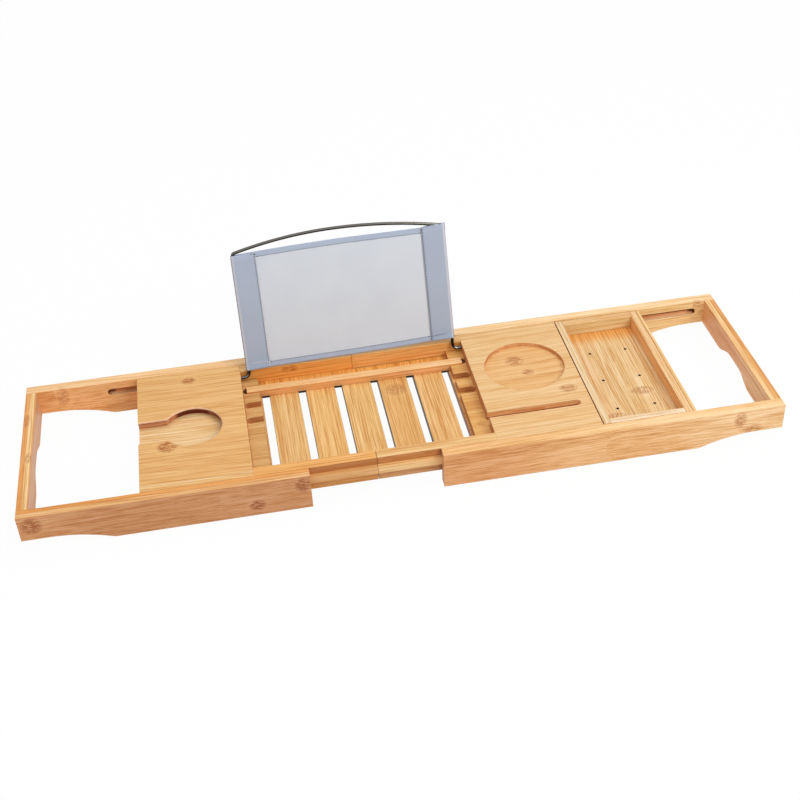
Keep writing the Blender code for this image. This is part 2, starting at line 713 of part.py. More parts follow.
def soap_tray():
    front = -(rail_face - SOAP_FRONT_GAP)
    rear = rail_face - SOAP_REAR_GAP
    under = deck_under
    holder = new_parent("soap_tray_place", ((soap_left + soap_right) / 2, (front + rear) / 2, under), caddy)
    parent_origin[holder.name] = holder.location.copy()
    floor_top = under + SOAP_FLOOR
    wall_under = floor_top + GLUE_GAP
    floor = place_box("soap_tray_floor", (soap_left, front, under), (soap_right, rear, floor_top),
                      holder, "slat")
    round_edges(floor, EDGE_ROUND / 2, 1)
    middle_x = (soap_left + soap_right) / 2
    middle = (front + rear) / 2 - DRAIN_FORWARD
    for column in (-1, 1):
        for row in (-1, 0, 1):
            name = "drain_" + str(column + 1) + str(row + 1)
            hole = turn_mesh(rod_mesh(name, DRAIN_RADIUS, 2 * (SOAP_FLOOR + CUT_OVERRUN), 16), pi / 2, "X")
            cut(floor, make_cutter(name, hole, (middle_x + column * DRAIN_SPACING_X / 2,
                                                middle + row * DRAIN_SPACING_Y, floor_top)))
    left_wall_x = soap_left + SOAP_SIDE_WALL
    right_wall_x = soap_right - SOAP_SIDE_WALL
    walls = (
        ("soap_tray_left_wall", (soap_left, front), (left_wall_x, rear)),
        ("soap_tray_right_wall", (right_wall_x, front), (soap_right, rear)),
        ("soap_tray_front_wall", (left_wall_x + GLUE_GAP, front),
         (right_wall_x - GLUE_GAP, front + SOAP_FRONT_WALL)),
        ("soap_tray_rear_wall", (left_wall_x + GLUE_GAP, rear - SOAP_REAR_WALL),
         (right_wall_x - GLUE_GAP, rear)),
    )
    for name, low, high in walls:
        wall = place_box(name, (*low, wall_under), (*high, top), holder, "slat")
        round_edges(wall)


# Book stand. Its own plane is X and Z from the hinge, turned back by the lean.


def half_wire_path(arch_radius):
    # The right half: from the arch's middle, round the top bend, down the leg and out into the deck.
    centre_z = ARCH_TOP - arch_radius
    bend_x = leg_x - TOP_BEND_RADIUS
    reach = arch_radius - TOP_BEND_RADIUS
    slope = asin(bend_x / reach)
    bend_z = centre_z + sqrt(reach ** 2 - bend_x ** 2)
    arch = arc_points((0, centre_z), arch_radius, pi / 2, pi / 2 - slope, 14)
    bend = arc_points((bend_x, bend_z), TOP_BEND_RADIUS, pi / 2 - slope, 0, 5)
    hook = arc_points((leg_x + HOOK_BEND_RADIUS, HOOK_BEND_RADIUS), HOOK_BEND_RADIUS, pi, 3 * pi / 2, 6)
    end = [(WELL_HALF + WIRE_IN_DECK, 0)]
    return arch + bend[1:] + hook + end


def stand_wire():
    right = half_wire_path(RIGHT_ARCH_RADIUS)
    left = [(-x, z) for x, z in reversed(half_wire_path(LEFT_ARCH_RADIUS)[1:])]
    curve = bpy.data.curves.new("stand_wire_frame", "CURVE")
    curve.dimensions = "3D"
    curve.bevel_depth = WIRE_RADIUS
    curve.bevel_resolution = 2
    curve.use_fill_caps = True
    spline = curve.splines.new("POLY")
    points = left + right
    spline.points.add(len(points) - 1)
    for point, (x, z) in zip(spline.points, points):
        point.co = (x, 0, z, 1)
    wire = bpy.data.objects.new("stand_wire_frame", curve)
    wire.parent = stand
    parts.objects.link(wire)
    give_material(wire, "steel", 0.3, 0.9)


def skew_cloth(mesh):
    # The cloth sits higher on the right leg than on the left.
    for corner in mesh.vertices:
        skew = CLOTH_TOP_SKEW if corner.co.z > 0 else CLOTH_BOTTOM_SKEW
        corner.co.z += skew * (corner.co.x + leg_x) / (2 * leg_x)
    return mesh


def sleeve_outline():
    # Section of a sleeve band: a flat strip whose outer edge is folded round the wire.
    half = CLOTH_THICKNESS / 2
    open_angle = asin(half / SLEEVE_RADIUS)
    outer = arc_points((leg_x, 0), SLEEVE_RADIUS, pi + open_angle, 3 * pi - open_angle, 20)
    hole = arc_points((leg_x, 0), WIRE_RADIUS + WIRE_HOLE_GAP, 2 * pi, 2 * pi / 16, 15)
    return [(BAND_INNER, half), (BAND_INNER, -half)] + outer, hole


def sleeve_band(name, side):
    outer, hole = sleeve_outline()
    mesh = outline_mesh(name, [outer, hole], CLOTH_TOP - CLOTH_BOTTOM)
    if side < 0:
        turn_mesh(mesh, pi, "Z")
    return place(name, skew_cloth(mesh), (0, 0, (CLOTH_TOP + CLOTH_BOTTOM) / 2), stand, "band", 0.8)


def cloth_panel():
    half = BAND_INNER - GLUE_GAP
    mesh = box_mesh("stand_cloth_panel", (2 * half, CLOTH_THICKNESS, CLOTH_TOP - CLOTH_BOTTOM))
    return place("stand_cloth_panel", skew_cloth(mesh), (0, 0, (CLOTH_TOP + CLOTH_BOTTOM) / 2),
                 stand, "cloth", 0.8)


clear_scene()
parts = new_collection("bath_caddy")
cutters = new_collection("cutters")
parent_origin = {}

caddy = new_parent("caddy", (0, middle_y, 0))
parent_origin[caddy.name] = Vector((0, 0, 0))
core = new_parent("core", (seam_x, 0, 0), caddy)
parent_origin[core.name] = Vector((seam_x, 0, 0))
stand = new_parent("stand_hinge", (seam_x, hinge_y, hinge_z), caddy, (-STAND_LEAN, 0, 0))

left_deck()
right_deck()
inner_rail("front_left_inner_rail", -1, -1)
inner_rail("front_right_inner_rail", 1, -1)
inner_rail("rear_left_inner_rail", -1, 1, REAR_LEFT_EXTRA)
inner_rail("rear_right_inner_rail", 1, 1)
ledge("left_notched_ledge", -1)
ledge("right_notched_ledge", 1)
slats()
cross_rails()
end_strip()

outer_frame("left", -1, left_end_x, left_free_x, left_rail_length, left_groove_x, left_pin_x,
            LEFT_PULL, LEFT_TRAVEL)
outer_frame("right", 1, right_end_x, right_free_x, right_rail_length, right_groove_x, right_pin_x,
            RIGHT_PULL, RIGHT_TRAVEL)

book_bar()
soap_tray()
stand_wire()
sleeve_band("stand_left_band", -1)
sleeve_band("stand_right_band", 1)
cloth_panel()
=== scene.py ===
# Extending bamboo bath caddy on a white sweep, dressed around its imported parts. Metres, +Z up.
import json
import math
import bmesh
import bpy
from mathutils import Matrix, Vector


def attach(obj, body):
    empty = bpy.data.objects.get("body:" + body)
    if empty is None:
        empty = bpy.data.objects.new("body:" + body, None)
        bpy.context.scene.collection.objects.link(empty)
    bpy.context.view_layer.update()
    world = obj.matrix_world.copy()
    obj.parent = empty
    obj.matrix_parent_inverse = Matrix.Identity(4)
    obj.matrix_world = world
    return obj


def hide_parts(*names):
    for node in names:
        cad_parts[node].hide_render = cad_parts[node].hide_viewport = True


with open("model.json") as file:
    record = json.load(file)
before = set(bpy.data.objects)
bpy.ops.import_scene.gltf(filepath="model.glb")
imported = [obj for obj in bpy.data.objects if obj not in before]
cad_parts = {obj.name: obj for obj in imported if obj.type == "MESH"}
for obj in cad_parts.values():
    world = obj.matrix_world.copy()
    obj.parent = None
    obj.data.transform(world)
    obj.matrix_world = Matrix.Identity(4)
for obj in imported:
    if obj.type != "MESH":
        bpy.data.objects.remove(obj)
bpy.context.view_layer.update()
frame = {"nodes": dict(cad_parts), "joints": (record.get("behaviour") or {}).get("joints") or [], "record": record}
parts = frame["nodes"]
slotOf = {row["node"]: row["material_slot"] for row in frame["record"]["subparts"]}
mm = 0.001
print("frame loaded:", len(parts), "parts")


# One socket of a shader tree. Sums and products of sockets add the Math nodes they need.
class Shade:
    def __init__(self, tree, socket=None):
        self.tree = tree
        self.socket = socket

    def node(self, kind, settings=None, inputs=None, out=0):
        made = self.tree.nodes.new("ShaderNode" + kind)
        for key, value in (settings or {}).items():
            if key == "stops":
                ramp = made.color_ramp
                while len(ramp.elements) < len(value):
                    ramp.elements.new(0.5)
                for stop, (at, tone) in zip(ramp.elements, value):
                    stop.position = at
                    stop.color = (*tone, 1)
            else:
                setattr(made, key, value)
        for key, value in (inputs or {}).items():
            if isinstance(value, Shade):
                self.tree.links.new(value.socket, made.inputs[key])
            else:
                made.inputs[key].default_value = value
        return Shade(self.tree, made.outputs[out])

    def maths(self, operation, *values, clamp=False):
        return self.node("Math", {"operation": operation, "use_clamp": clamp}, dict(enumerate(values)))

    def __add__(self, other):
        return self.maths("ADD", self, other)

    def __radd__(self, other):
        return self.maths("ADD", other, self)

    def __sub__(self, other):
        return self.maths("SUBTRACT", self, other)

    def __rsub__(self, other):
        return self.maths("SUBTRACT", other, self)

    def __mul__(self, other):
        return self.maths("MULTIPLY", self, other)

    def __rmul__(self, other):
        return self.maths("MULTIPLY", other, self)

    def __truediv__(self, other):
        return self.maths("DIVIDE", self, other)

    def power(self, other):
        return self.maths("POWER", self, other)

    def larger(self, other):
        return self.maths("MAXIMUM", self, other)

    def absolute(self):
        return self.maths("ABSOLUTE", self)

    def floor(self):
        return self.maths("FLOOR", self)

    def clamped(self):
        return self.maths("ADD", self, 0.0, clamp=True)

    def between(self, low, high):
        # 0 below low, 1 above high, smooth in the middle
        return self.node("MapRange", {"interpolation_type": "SMOOTHSTEP"},
                         {"Value": self, "From Min": low, "From Max": high})

    def within(self, low, high, soft):
        # 1 from low to high and 0 outside, with soft limits
        return self.between(low - soft, low + soft) * (1 - self.between(high - soft, high + soft))

    def blend(self, first, second):
        # Two colours, mixed by this socket
        return self.node("Mix", {"data_type": "RGBA"}, {0: self, 6: first, 7: second}, out=2)

    def tint(self, tone):
        # This colour multiplied by another
        return self.node("Mix", {"data_type": "RGBA", "blend_type": "MULTIPLY"}, {0: 1.0, 6: self, 7: tone},
                         out=2)

    def axes(self):
        return [self.node("SeparateXYZ", None, {0: self}, out=i) for i in range(3)]

    def vector(self, x, y, z):
        return self.node("CombineXYZ", None, {0: x, 1: y, 2: z})

    def noise(self, place, scale=1.0, detail=2.0, rough=0.5, twist=0.0):
        return self.node("TexNoise", {"normalize": True},
                         {"Vector": place, "Scale": scale, "Detail": detail, "Roughness": rough,
                          "Distortion": twist})

    def chance(self, value):
        # A random number from 0 to 1 for each value
        return self.node("TexWhiteNoise", {"noise_dimensions": "1D"}, {"W": value})

    def seen(self):
        # 1 for the camera's rays, mirrored and clear ones too, and 0 for light that falls on the part
        camera, glossy, clear = (self.node("LightPath", None, None, out=i) for i in (0, 3, 6))
        return (camera + glossy + clear).clamped()


def newFinish(name):
    material = bpy.data.materials.new(name)
    material.use_nodes = True
    tree = material.node_tree
    return material, tree.nodes["Principled BSDF"], Shade(tree)


def link(material, shade, socket):
    material.node_tree.links.new(shade.socket, material.node_tree.nodes["Principled BSDF"].inputs[socket])


def wear(node, material):
    parts[node].data.materials.clear()
    parts[node].data.materials.append(material)


def colour(values):
    # A colour read off a screen, 0 to 255, as the shader wants it
    shares = [value / 255 for value in values]
    return (*(s / 12.92 if s <= 0.04045 else ((s + 0.055) / 1.055) ** 2.4 for s in shares), 1)


# Camera, at the photographed angle
shot = {
    "azimuth": -8.02,
    "elevation": 37.54,
    "roll": -3.24,
    "distance": 1456.4 * mm,
    "aim": (4.58 * mm, -19.43 * mm, 43.5 * mm),
    "lens": 58.27,
    "sensor": 36,
}


def addCamera():
    turn = math.radians(shot["azimuth"])
    rise = math.radians(shot["elevation"])
    roll = math.radians(shot["roll"])
    back = Vector((math.sin(turn) * math.cos(rise), -math.cos(turn) * math.cos(rise), math.sin(rise)))
    right = (-back).cross(Vector((0, 0, 1))).normalized()
    up = right.cross(-back)
    right, up = math.cos(roll) * right + math.sin(roll) * up, math.cos(roll) * up - math.sin(roll) * right
    lens = bpy.data.cameras.new("camera")
    lens.lens = shot["lens"]
    lens.sensor_width = shot["sensor"]
    camera = bpy.data.objects.new("camera", lens)
    pose = Matrix((right, up, back)).transposed().to_4x4()
    pose.translation = Vector(shot["aim"]) + back * shot["distance"]
    camera.matrix_world = pose
    bpy.context.scene.collection.objects.link(camera)
    bpy.context.scene.camera = camera


# Lamps are a name, a place, a size and a power
studio = {
    "lamps": (("keyLamp", (1.15, -1.05, 1.35), 0.9, 15),
              ("topLamp", (0.1, 0.25, 1.9), 1.8, 15),
              ("fillLamp", (-1.2, -1.3, 0.8), 1.2, 3)),
    "sky": 0.42,
    "floorSize": 30,
    "floorDrop": 0.3 * mm,
    "floorTone": 0.9,
    "floorRoughness": 0.9,
    "floorShine": 0.1,
    "floorGlow": 0.97,
}


def lightStudio():
    for name, place, size, power in studio["lamps"]:
        light = bpy.data.lights.new(name, "AREA")
        light.size = size
        light.energy = power
        lamp = bpy.data.objects.new(name, light)
        lamp.location = place
        lamp.rotation_euler = (-Vector(place)).to_track_quat("-Z", "Y").to_euler()
        bpy.context.scene.collection.objects.link(lamp)
    world = bpy.data.worlds.new("studio")
    world.use_nodes = True
    bpy.context.scene.world = world
    tree = world.node_tree
    strength = Shade(tree).seen() * (1 - studio["sky"]) + studio["sky"]
    tree.links.new(strength.socket, tree.nodes["Background"].inputs["Strength"])
    tree.nodes["Background"].inputs["Color"].default_value = (1, 1, 1, 1)


def layFloor():
    sweep = bmesh.new()
    bmesh.ops.create_grid(sweep, x_segments=1, y_segments=1, size=studio["floorSize"] / 2)
    bmesh.ops.translate(sweep, verts=sweep.verts, vec=(0, 0, -studio["floorDrop"]))
    mesh = bpy.data.meshes.new("floor")
    sweep.to_mesh(mesh)
    sweep.free()
    floor = bpy.data.objects.new("floor", mesh)
    bpy.context.scene.collection.objects.link(floor)
    material, surface, paper = newFinish("floorPaper")
    surface.inputs["Base Color"].default_value = (*(studio["floorTone"],) * 3, 1)
    surface.inputs["Roughness"].default_value = studio["floorRoughness"]
    surface.inputs["Specular IOR Level"].default_value = studio["floorShine"]
    glow = paper.node("Emission", None, {"Color": (1, 1, 1, 1), "Strength": 1.0})
    dull = Shade(material.node_tree, surface.outputs[0])
    mixed = paper.node("MixShader", None, {0: paper.seen() * studio["floorGlow"], 1: dull, 2: glow})
    output = material.node_tree.nodes["Material Output"]
    material.node_tree.links.new(mixed.socket, output.inputs["Surface"])
    floor.data.materials.append(material)


addCamera()
lightStudio()
layFloor()
bpy.context.scene.view_settings.view_transform = "Standard"
print("camera, lamps and floor set")


bamboo = {
    "dowelTop": (232, 181, 118),
    "dowelFront": (226, 168, 118),
    "grades": ((0.0, (0.74, 0.55, 0.36)), (0.28, (0.90, 0.80, 0.64)), (0.52, (1.0, 1.0, 1.0)),
               (0.78, (1.06, 1.13, 1.27)), (1.0, (1.12, 1.27, 1.62))),
    "strip": 6.3 * mm,
    "layer": 14 * mm,
    "layerStep": 17,
    "seedStep": 100,
    "stripShare": 0.22,
    "waver": 3 * mm,
    "waverAlong": 7,
    "waverAcross": 12,
    "broad": {"long": 1 / 6, "wide": 1 / 150, "shift": 7},
    "streaks": {"long": 150 * mm, "wide": 1.5 * mm, "shift": 9, "detail": 3.0, "rough": 0.7},
    "fibres": {"long": 45 * mm, "wide": 0.8 * mm, "shift": 5, "detail": 3.0, "rough": 0.7},
    "shares": {"broad": 0.5, "streaks": 2.5, "fibres": 2.1},
    "dashes": {"long": 5.5 * mm, "wide": 1.2 * mm, "rough": 0.7, "twist": 0.3},
    "dashLimits": (0.40, 0.52),
    "knot": (0.52, 0.28, 0.13, 1),
    "knotRim": (0.4, 2.2),
    "haloRim": (1.0, 6.0),
    "haloLift": 0.08,
    "turn": (0.35, 0.75),
    "stripeSoft": 0.4 * mm,
    "hollowSoft": 0.15 * mm,
    "hollowSoftX": 3 * mm,
    "hole": (40, 24, 14),
    "holeSoft": 0.3,
    "edgeHighlight": (1.15, 1.3, 1.5, 1),
    "edgeHighlightFrom": (0.88, 0.985),
    "edgeHighlightShare": 0.35,
    "roughness": 0.4,
    "roughShare": 0.16,
    "shine": 0.35,
    "fibreRelief": 0.6,
    "streakRelief": 0.3,
    "knotRelief": 0.5,
    "reliefStrength": 0.2,
    "reliefHeight": 0.12 * mm,
}


# Laminated bamboo. The grain runs along one axis of the part, and strips of their own tone lie side by side
# across it. Streaks and fibres are long and thin. A knot is a cluster of short brown dashes with pale wood
# round it, as dark as depth says. Faces that look up, to the sides and to the rear have base colours of
# their own, and front is for the rest: lit and shaded copies of the wood, painted light and shade by facing.
# A fade is a colour that takes over along the part, on the faces that look up or on the others. A stripe
# recolours faces that look up, a box of painted shade or light recolours all faces in it, and a hole is a
# disc of painted shade.
def bambooFinish(name, top, front=None, sides=None, rear=None, grain="x", seed=0.0, contrast=1.0,
                 slant=0.0, knots=(), depth=0.9, fades=(), stripes=(), shadeAndLightBoxes=(), holes=()):
    material, surface, wood = newFinish(name)
    place = wood.node("TexCoord", None, None, out=3)
    at = dict(zip("xyz", place.axes()))
    across = "y" if grain == "x" else "x"
    along = at[grain] + seed
    wave = wood.noise(wood.vector(along * bamboo["waverAlong"], at[across] * bamboo["waverAcross"],
                                  at["z"] * bamboo["waverAcross"]), detail=1.0)
    waver = (wave - 0.5) * bamboo["waver"]
    side = at[across] + at[grain] * slant + waver
    rest = at["z"] + waver
    strip = (side / bamboo["strip"]).floor() + (rest / bamboo["layer"]).floor() * bamboo["layerStep"]
    own = wood.chance(strip + seed * bamboo["seedStep"])

    def drawn(long, wide, shift=0, **kind):
        # A pattern that is long along the grain. Each strip's own random number moves it on by up to shift
        return wood.noise(wood.vector(along / long + own * shift, side / wide, rest / wide), **kind)

    patterns = {kind: drawn(**bamboo[kind]) for kind in bamboo["shares"]}
    value = (own - 0.5) * (bamboo["stripShare"] * contrast) + 0.5
    for kind, share in bamboo["shares"].items():
        value = value + (patterns[kind] - 0.5) * (share * contrast)

    marks = 0.0
    halo = 0.0
    for x, y, z, knotLong, knotWide in knots:
        centre = {"x": x, "y": y, "z": z}
        far = ((at[grain] - centre[grain] * mm) / (knotLong * mm)).power(2)
        for axisName in (across, "z"):
            far = far + ((at[axisName] - centre[axisName] * mm) / (knotWide * mm)).power(2)
        marks = marks + (1 - far.between(*bamboo["knotRim"]))
        halo = halo + (1 - far.between(*bamboo["haloRim"]))
    if knots:
        dashes = drawn(**bamboo["dashes"]).between(*bamboo["dashLimits"])
        marks = (marks * dashes).clamped()
        value = value + halo.clamped() * bamboo["haloLift"]
    grades = wood.node("ValToRGB", {"stops": bamboo["grades"]}, {"Fac": value.clamped()})

    # Painted light and shade: each facing gets its own lit or shaded base colour
    facing = wood.node("TexCoord", None, None, out=1).axes()
    upward = facing[2].between(*bamboo["turn"])
    base = upward.blend(colour(front or top), colour(top))
    if rear:
        base = facing[1].between(*bamboo["turn"]).blend(base, colour(rear))
    if sides:
        base = facing[0].absolute().between(*bamboo["turn"]).blend(base, colour(sides))
    for axisName, start, end, tone, looksUp in fades:
        mask = at[axisName].between(min(start, end) * mm, max(start, end) * mm)
        mask = mask if start < end else 1 - mask
        base = (mask * (upward if looksUp else 1 - upward)).blend(base, colour(tone))
    for axisName, low, high, tone in stripes:
        mask = at[axisName].within(low * mm, high * mm, bamboo["stripeSoft"]) * upward
        base = mask.blend(base, colour(tone))
    # Painted shade and light in boxes: recesses, grooves and undercuts darkened, lips and rims lightened
    for box, tone in shadeAndLightBoxes:
        mask = 1.0
        for axisName, (low, high) in box.items():
            soft = bamboo["hollowSoftX"] if axisName == "x" else bamboo["hollowSoft"]
            mask = at[axisName].within(low * mm, high * mm, soft) * mask
        base = mask.blend(base, colour(tone))
    # Painted shade: a dark disc where each drain hole is
    for x, y, radius in holes:
        away = ((at["x"] - x * mm).power(2) + (at["y"] - y * mm).power(2)).power(0.5)
        outside = away.between((radius - bamboo["holeSoft"]) * mm, (radius + bamboo["holeSoft"]) * mm)
        base = (1 - outside).blend(base, colour(bamboo["hole"]))
    shade = base.tint(grades)
    if knots:
        shade = (marks * depth).blend(shade, base.tint(bamboo["knot"]))
    # Painted highlight along the rounded edges, where the faces turn
    flat = facing[0].absolute().larger(facing[1].absolute()).larger(facing[2].absolute())
    edge = (1 - flat.between(*bamboo["edgeHighlightFrom"])) * bamboo["edgeHighlightShare"]
    shade = edge.blend(shade, base.tint(bamboo["edgeHighlight"]))
    link(material, shade, "Base Color")

    relief = patterns["fibres"] * bamboo["fibreRelief"] + patterns["streaks"] * bamboo["streakRelief"]
    if knots:
        relief = relief - marks * bamboo["knotRelief"]
    link(material, patterns["fibres"] * bamboo["roughShare"] + bamboo["roughness"], "Roughness")
    surface.inputs["Specular IOR Level"].default_value = bamboo["shine"]
    bump = wood.node("Bump", None, {"Strength": bamboo["reliefStrength"],
                                    "Distance": bamboo["reliefHeight"], "Height": relief})
    link(material, bump, "Normal")
    return material


def grooveShadeAndLight(ends, stop, shadeFrom, lit, shaded, lip, closed):
    # Painted light and shade in the sliding groove of a rear rail: lit below and shaded above, with a painted
    # bright lower lip and painted dark shade at its closed end
    deep = (91.8, 97)
    bottom, top = 25.2, 34.4
    return [({"z": (bottom, top), "y": deep, "x": ends}, lit),
            ({"z": (shadeFrom, top), "y": deep, "x": ends}, shaded),
            ({"z": (bottom - 0.3, bottom + 0.3), "y": deep, "x": ends}, lip),
            ({"z": (bottom + 1.4, top), "y": deep, "x": stop}, closed)]


# Colours read at the photographed faces. The top, front, side and rear colours of a part are lit and shaded
# copies of its wood, painted light and shade by facing. Places and sizes are in millimetres: a knot is x, y, z,
# its length along the grain and its width, a hole is x, y and its radius, a stripe or a fade is an axis, two
# places on it and a colour. A fade's last value is true for the faces that look up and false for the others.
# A box of painted shade or light is a limit on each of its axes and a colour.
wearers = {
    "left_deck_board": {
        "top": (233, 180, 112), "front": (205, 135, 88), "sides": (205, 135, 88),
        "seed": 0.3, "slant": 0.04,
        "knots": [(-229, 73, 43.5, 7, 5), (-257, -43.4, 43.5, 9, 8)], "depth": 1.0,
        "stripes": [("y", -107, -104.5, (236, 196, 142)), ("z", 30, 36, (243, 203, 146))],
        # Painted light and shade in the wine glass pocket: a pale highlight on its rim, shade under the lip and on
        # its walls
        "shadeAndLightBoxes": [({"z": (41.4, 43.2), "x": (-300, -185), "y": (-40, 25)}, (244, 200, 164)),
                    ({"z": (33.8, 41.4), "x": (-300, -246), "y": (0, 12)}, (214, 150, 108)),
                    ({"z": (39.0, 41.4), "x": (-300, -246), "y": (0, 12)}, (110, 60, 36)),
                    ({"z": (33.8, 41.4), "x": (-246, -208), "y": (5, 30)}, (104, 34, 10)),
                    ({"z": (33.8, 41.4), "x": (-208, -190), "y": (-40, 25)}, (150, 90, 52))],
    },
    "right_deck_board": {
        "top": (235, 191, 133), "front": (226, 168, 114), "sides": (205, 140, 88),
        "seed": 1.7, "slant": -0.03, "contrast": 0.85,
        "knots": [(148.4, 29.4, 38.8, 9, 8), (158.8, 4.7, 38.8, 6, 5), (193.3, -41.4, 43.5, 9, 6)],
        "depth": 0.75,
        "stripes": [("z", 37, 40, (234, 184, 122))],
        # Painted light and shade in the phone slot: its walls lightened, a dark band of painted shade low on them
        "shadeAndLightBoxes": [({"y": (-75, -62), "z": (33, 43)}, (246, 190, 132)),
                    ({"y": (-75, -62), "z": (33, 37)}, (178, 112, 70))],
    },
    "left_notched_ledge": {
        "top": (216, 166, 100), "front": (196, 134, 80), "sides": (200, 130, 76), "seed": 2.1,
    },
    "right_notched_ledge": {
        "top": (226, 168, 94), "front": (196, 134, 80), "sides": (200, 130, 76), "seed": 2.9,
        "knots": [(86.9, -67.1, 32.5, 5, 4)], "depth": 0.5,
    },
    "front_left_inner_rail": {
        "top": (236, 172, 96), "front": (212, 148, 80), "seed": 3.1,
        # Painted shade in the recess above the tongue, painted light on the tongue below it
        "shadeAndLightBoxes": [({"z": (34.3, 42.8), "y": (-114, -112.2)}, (190, 122, 64)),
                    ({"z": (25.6, 34.3), "y": (-119, -112.8)}, (224, 168, 106))],
    },
    "front_right_inner_rail": {
        "top": (234, 186, 122), "front": (206, 146, 90), "seed": 3.7,
        # Painted shade in the recess above the tongue and by the rail's free end, painted light on the tongue
        "shadeAndLightBoxes": [({"z": (34.3, 42.8), "y": (-114, -112.2)}, (196, 128, 68)),
                    ({"z": (25.6, 34.3), "y": (-119, -112.8)}, (244, 200, 140)),
                    ({"x": (31, 34), "y": (-114, -112.2), "z": (34.3, 42.5)}, (150, 95, 55)),
                    ({"x": (31, 34), "y": (-114, -112.2), "z": (10, 25.6)}, (150, 95, 55))],
    },
    "rear_left_inner_rail": {
        "top": (232, 181, 118), "front": (243, 172, 86), "seed": 4.3,
        "knots": [(-110.5, 77, 38, 8, 5)], "depth": 0.6,
    },
    "rear_right_inner_rail": {"top": (232, 181, 118), "front": (249, 189, 112), "seed": 4.9},
    "front_cross_rail": {"top": (216, 164, 102), "seed": 5.3},
    "rear_cross_rail": {
        # Painted shade: the front face and groove are near black, the deep shade seen through the slat gaps
        "top": (236, 170, 84), "front": (10, 6, 5),
        "seed": 5.9, "grain": "y", "contrast": 1.6,
        "shadeAndLightBoxes": [({"y": (56, 62.4), "z": (18, 22.7)}, (10, 6, 5))],
    },
    "core_end_strip": {
        "top": (236, 190, 124), "front": (200, 140, 85), "seed": 6.1, "grain": "y",
    },
    "book_rest_bar": {
        # Its ends are painted dark, the shade in the notches they sit in
        "top": (244, 192, 130), "front": (245, 179, 113), "sides": (90, 50, 30), "seed": 6.7,
        "knots": [(-46.8, 36.3, 40, 8, 4)],
    },
    "left_front_rail": {
        "top": (236, 182, 120), "front": (212, 151, 101), "sides": (215, 160, 110),
        "seed": 7.3, "slant": 0.03,
        "knots": [(-401.7, -126, 31, 9, 9), (-168.4, -126, 13.5, 7, 6), (-118.6, -126, 32, 7, 8)],
        "stripes": [("y", -119.2, -110, (232, 160, 84))],
        "fades": [("x", -330, -400, (222, 160, 108), False)],
    },
    "left_rear_rail": {
        "top": (250, 202, 144), "front": (252, 183, 115), "sides": (215, 160, 110), "rear": (232, 172, 112),
        "seed": 7.9, "slant": 0.04,
        "knots": [(-375, 91.2, 33, 6, 10)], "depth": 0.55,
        "shadeAndLightBoxes": grooveShadeAndLight((-328, -155), (-325, -315), 29.3, (214, 146, 94), (142, 82, 50),
                                 (255, 208, 154), (118, 66, 40)),
    },
    "right_front_rail": {
        "top": (238, 184, 120), "front": (228, 164, 106), "sides": (215, 155, 105),
        "seed": 8.3, "slant": -0.03,
        "knots": [(365.5, -126, 31.5, 6, 9), (380, -126, 16.5, 9, 5)], "depth": 0.75,
        # Painted light: the faces grow lighter towards the right, nearer the light
        "fades": [("x", 90, 200, (240, 187, 128), False), ("x", 260, 340, (246, 201, 146), False),
                  ("x", 100, 250, (246, 202, 144), True)],
    },
    "right_rear_rail": {
        "top": (250, 210, 156), "front": (255, 215, 150), "sides": (215, 160, 110), "rear": (232, 172, 112),
        "seed": 8.9,
        "knots": [(394, 91.2, 38.5, 5, 6)], "depth": 0.6,
        "shadeAndLightBoxes": grooveShadeAndLight((75, 397), (385, 394), 28.9, (240, 182, 124), (150, 84, 50),
                                 (255, 214, 160), (104, 56, 34)),
    },
    "left_end_rail": {
        "top": (248, 206, 143), "front": (215, 160, 110), "sides": (222, 168, 124),
        "seed": 9.3, "grain": "y",
        "knots": [(-411.5, 39.4, 43.5, 10, 3), (-407, -27.7, 43.5, 8, 3)], "depth": 0.6,
        "stripes": [("x", -416, -409.6, (234, 164, 92)), ("x", -404.6, -402, (228, 160, 92))],
    },
    "right_end_rail": {
        "top": (242, 196, 136), "front": (215, 160, 110), "sides": (244, 180, 124),
        "seed": 9.9, "grain": "y",
        "stripes": [("x", 409.5, 416, (228, 166, 96))],
        # Painted light: the inner face grows lighter towards the front, where less light reaches it
        "fades": [("y", 20, -90, (255, 206, 150), False)],
    },
    "soap_tray_floor": {
        "top": (232, 194, 138), "front": (200, 140, 85),
        "seed": 10.3, "grain": "y", "contrast": 1.25,
        "knots": [(237.3, -84, 28.2, 5, 9), (279.8, -45.1, 28.2, 6, 11)], "depth": 0.65,
        "fades": [("x", 262, 236, (236, 198, 144), True), ("y", 50, 72, (226, 160, 84), True)],
        "holes": [(x, y, 1.75) for x in (242.65, 285.85) for y in (-71.5, -17.5, 36.5)],
    },
    "soap_tray_left_wall": {
        "top": (231, 196, 146), "front": (215, 165, 110), "sides": (200, 138, 88),
        "seed": 10.9, "grain": "y",
    },
    "soap_tray_right_wall": {
        "top": (240, 198, 144), "front": (215, 165, 110), "sides": (251, 191, 128),
        "seed": 11.3, "grain": "y",
    },
    "soap_tray_front_wall": {"top": (246, 220, 184), "front": (215, 165, 110), "seed": 11.9},
    "soap_tray_rear_wall": {"top": (232, 184, 126), "front": (238, 210, 152), "seed": 12.3},
}
# Painted shade: the slats' sides are near black and their front ends dark, the deep shade of their gaps
slatLook = {
    "tones": ((230, 180, 112), (234, 182, 110), (234, 187, 118), (228, 174, 104), (234, 184, 117)),
    "front": (120, 70, 35),
    "sides": (70, 40, 24),
    "contrast": 1.2,
    "seed": 13.1,
    "seedStep": 0.7,
    "figured": 3,
    "figure": (6.5, 25, 25.5, 9, 10),
    "depth": 0.55,
}


